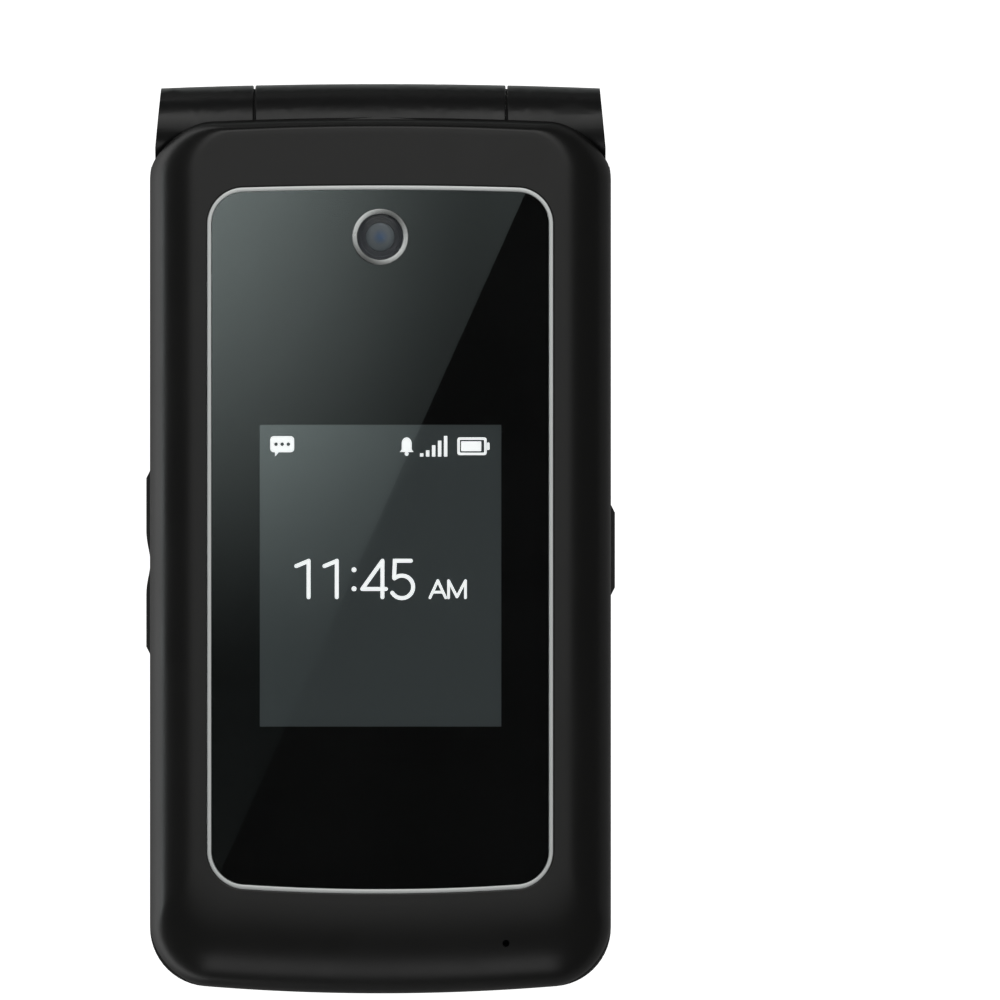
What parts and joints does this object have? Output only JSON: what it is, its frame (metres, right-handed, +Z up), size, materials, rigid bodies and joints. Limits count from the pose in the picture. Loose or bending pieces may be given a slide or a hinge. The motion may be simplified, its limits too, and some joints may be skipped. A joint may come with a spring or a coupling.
{
  "type": "flip phone",
  "caption": "Closed clamshell mobile phone: hinged lid with an outer window, camera and display over a keypad base, crowned hinge barrel and removable battery cover.",
  "frame": {"origin": "on the rest face under the middle of the closed phone", "axes": "+Y along the phone towards the hinge barrel, +Z up through the closed lid's window, +X across the phone to the right as its window is read"},
  "size_m": [0.057, 0.1104, 0.019],
  "materials": {
    "lid_shell": "soft-touch satin black moulding",
    "body_shell": "fine-textured satin black moulding",
    "back_shell": "fine-textured slate black moulding",
    "deck_plastic": "satin black keypad deck",
    "trim_metal": "fine satin silver trim",
    "window_glass": "polished black-printed window",
    "camera_glass": "coated dark lens",
    "display_panel": "display module with metal frame",
    "board_green": "solder-masked circuit board",
    "shield_metal": "tin-plated shield",
    "hinge_metal": "drawn steel",
    "contact_metal": "gold-plated contacts",
    "black_plastic": "moulded black inner part",
    "soft_rubber": "soft black rubber",
    "mat_rubber": "translucent grey silicone",
    "flex_film": "amber polyimide flat cable",
    "key_plastic": "black keys with pale legends",
    "side_key_plastic": "satin black side keys",
    "battery_wrap": "dark grey battery sleeve",
    "grille_plastic": "satin black grille"
  },
  "bodies": {
    "base": {"front_housing": "body_shell", "rear_housing": "black_plastic", "main_board": "board_green", "key_domes": "contact_metal", "keypad_mat": "mat_rubber", "shield_cans": "shield_metal", "sim_socket": "shield_metal", "side_switches": "black_plastic", "loudspeaker": "black_plastic", "microphone": "soft_rubber", "vibration_motor": "shield_metal", "headphone_jack": "black_plastic", "usb_socket": "shield_metal", "antenna": "contact_metal", "battery": "battery_wrap", "battery_contacts": "contact_metal", "base_screws": "hinge_metal", "hinge_cartridge": "hinge_metal", "hinge_bushing": "hinge_metal", "hinge_flex": "flex_film"},
    "lid": {"lid_outer_cover": "lid_shell", "lid_inner_cover": "body_shell", "window_trim_ring": "trim_metal", "outer_window": "window_glass", "outer_display": "display_panel", "camera_ring": "trim_metal", "camera_lens": "camera_glass", "camera_module": "black_plastic", "inner_window": "window_glass", "inner_display": "display_panel", "lid_board": "board_green", "earpiece": "black_plastic", "lid_microphone": "shield_metal", "lid_magnet": "shield_metal", "lid_bumpers": "soft_rubber", "lid_screws": "hinge_metal", "hinge_cam": "hinge_metal"},
    "battery_cover": {"battery_cover": "back_shell", "speaker_grille": "grille_plastic"},
    "volume_rocker": {"volume_rocker": "side_key_plastic"},
    "side_key": {"side_key": "side_key_plastic"},
    "nav_ring": {"nav_ring": "key_plastic"},
    "key_1": {"key_1": "key_plastic"},
    "key_2": {"key_2": "key_plastic"},
    "key_3": {"key_3": "key_plastic"},
    "key_4": {"key_4": "key_plastic"},
    "key_5": {"key_5": "key_plastic"},
    "key_6": {"key_6": "key_plastic"},
    "key_7": {"key_7": "key_plastic"},
    "key_8": {"key_8": "key_plastic"},
    "key_9": {"key_9": "key_plastic"},
    "key_star": {"key_star": "key_plastic"},
    "key_0": {"key_0": "key_plastic"},
    "key_hash": {"key_hash": "key_plastic"},
    "key_soft_left": {"key_soft_left": "key_plastic"},
    "key_soft_right": {"key_soft_right": "key_plastic"},
    "key_send": {"key_send": "key_plastic"},
    "key_end": {"key_end": "key_plastic"},
    "key_ok": {"key_ok": "key_plastic"}
  },
  "joints": [
    {"name": "lid_hinge", "type": "hinge", "parent": "base", "child": "lid", "pos_m": [0, 0.05005, 0.01115], "axis": [-1, 0, 0], "range_deg": [0, 160]},
    {"name": "battery_cover_release", "type": "slide", "parent": "base", "child": "battery_cover", "axis": [0, 0, -1], "range_m": [0, 0.02]},
    {"name": "volume_rock", "type": "hinge", "parent": "base", "child": "volume_rocker", "pos_m": [-0.0264, -0.0029, 0.0082], "axis": [0, 0, 1], "range_deg": [-1.2, 1.2], "stiffness_Nm_per_rad": 0.2},
    {"name": "side_key_press", "type": "slide", "parent": "base", "child": "side_key", "axis": [-1, 0, 0], "range_m": [0, 0.00025], "stiffness_N_per_m": 800, "springref_m": -0.0005},
    {"name": "nav_tilt", "type": "hinge", "parent": "base", "child": "nav_ring", "pos_m": [0, 0.0278, 0.0095], "axis": [1, 0, 0], "range_deg": [-1.5, 1.5], "stiffness_Nm_per_rad": 0.2},
    {"name": "press_1", "type": "slide", "parent": "base", "child": "key_1", "axis": [0, 0, -1], "range_m": [0, 0.00035], "stiffness_N_per_m": 400, "springref_m": -0.001},
    {"name": "press_2", "type": "slide", "parent": "base", "child": "key_2", "axis": [0, 0, -1], "range_m": [0, 0.00035], "stiffness_N_per_m": 400, "springref_m": -0.001},
    {"name": "press_3", "type": "slide", "parent": "base", "child": "key_3", "axis": [0, 0, -1], "range_m": [0, 0.00035], "stiffness_N_per_m": 400, "springref_m": -0.001},
    {"name": "press_4", "type": "slide", "parent": "base", "child": "key_4", "axis": [0, 0, -1], "range_m": [0, 0.00035], "stiffness_N_per_m": 400, "springref_m": -0.001},
    {"name": "press_5", "type": "slide", "parent": "base", "child": "key_5", "axis": [0, 0, -1], "range_m": [0, 0.00035], "stiffness_N_per_m": 400, "springref_m": -0.001},
    {"name": "press_6", "type": "slide", "parent": "base", "child": "key_6", "axis": [0, 0, -1], "range_m": [0, 0.00035], "stiffness_N_per_m": 400, "springref_m": -0.001},
    {"name": "press_7", "type": "slide", "parent": "base", "child": "key_7", "axis": [0, 0, -1], "range_m": [0, 0.00035], "stiffness_N_per_m": 400, "springref_m": -0.001},
    {"name": "press_8", "type": "slide", "parent": "base", "child": "key_8", "axis": [0, 0, -1], "range_m": [0, 0.00035], "stiffness_N_per_m": 400, "springref_m": -0.001},
    {"name": "press_9", "type": "slide", "parent": "base", "child": "key_9", "axis": [0, 0, -1], "range_m": [0, 0.00035], "stiffness_N_per_m": 400, "springref_m": -0.001},
    {"name": "press_star", "type": "slide", "parent": "base", "child": "key_star", "axis": [0, 0, -1], "range_m": [0, 0.00035], "stiffness_N_per_m": 400, "springref_m": -0.001},
    {"name": "press_0", "type": "slide", "parent": "base", "child": "key_0", "axis": [0, 0, -1], "range_m": [0, 0.00035], "stiffness_N_per_m": 400, "springref_m": -0.001},
    {"name": "press_hash", "type": "slide", "parent": "base", "child": "key_hash", "axis": [0, 0, -1], "range_m": [0, 0.00035], "stiffness_N_per_m": 400, "springref_m": -0.001},
    {"name": "press_soft_left", "type": "slide", "parent": "base", "child": "key_soft_left", "axis": [0, 0, -1], "range_m": [0, 0.00035], "stiffness_N_per_m": 400, "springref_m": -0.001},
    {"name": "press_soft_right", "type": "slide", "parent": "base", "child": "key_soft_right", "axis": [0, 0, -1], "range_m": [0, 0.00035], "stiffness_N_per_m": 400, "springref_m": -0.001},
    {"name": "press_send", "type": "slide", "parent": "base", "child": "key_send", "axis": [0, 0, -1], "range_m": [0, 0.00035], "stiffness_N_per_m": 400, "springref_m": -0.001},
    {"name": "press_end", "type": "slide", "parent": "base", "child": "key_end", "axis": [0, 0, -1], "range_m": [0, 0.00035], "stiffness_N_per_m": 400, "springref_m": -0.001},
    {"name": "press_ok", "type": "slide", "parent": "base", "child": "key_ok", "axis": [0, 0, -1], "range_m": [0, 0.00035], "stiffness_N_per_m": 400, "springref_m": -0.001}
  ]
}
